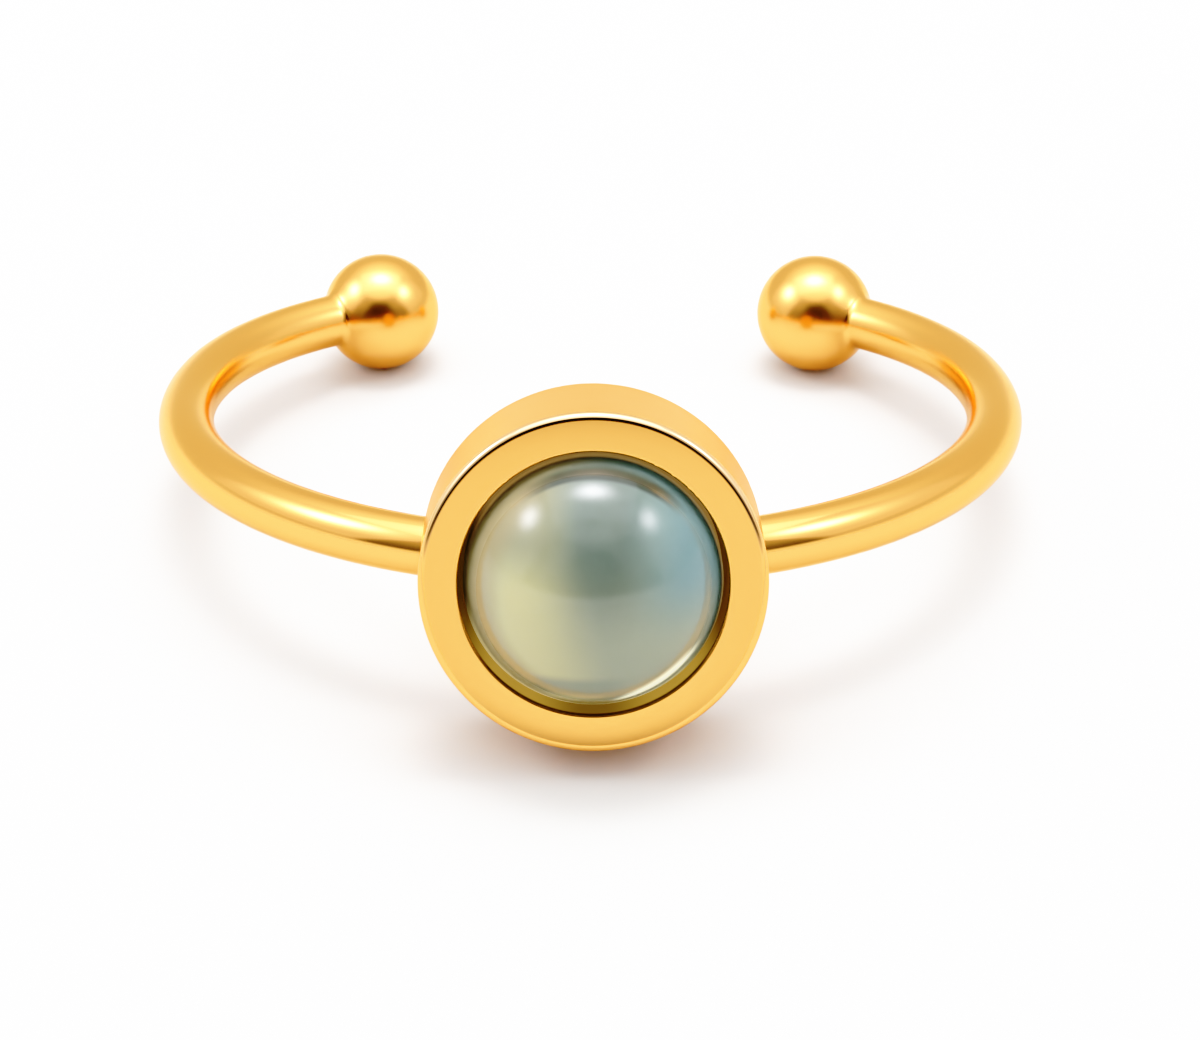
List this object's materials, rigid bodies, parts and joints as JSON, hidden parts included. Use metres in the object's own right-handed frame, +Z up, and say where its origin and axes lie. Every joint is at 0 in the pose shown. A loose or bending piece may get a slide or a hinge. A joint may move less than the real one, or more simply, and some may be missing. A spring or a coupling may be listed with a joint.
{
  "type": "aquamarine ring",
  "caption": "Open finger ring of round gold wire with ball ends and a deep round cup holding a pale sea-green cabochon, lying on its side.",
  "frame": {"origin": "on the surface the ring lies on, under the middle of the box round the whole ring", "axes": "+Z up from the surface; -Y the way the stone faces; +X to the right of the stone as seen from in front; the finger's axis is near +Z, tipped by about eight degrees"},
  "size_m": [0.0188, 0.0202, 0.0072],
  "materials": {
    "polished_gold": "gold plating polished to a mirror",
    "sea_green_stone": "polished, milky and translucent"
  },
  "bodies": {
    "root": {"band_and_cup": "polished_gold", "stone": "sea_green_stone"}
  },
  "joints": []
}
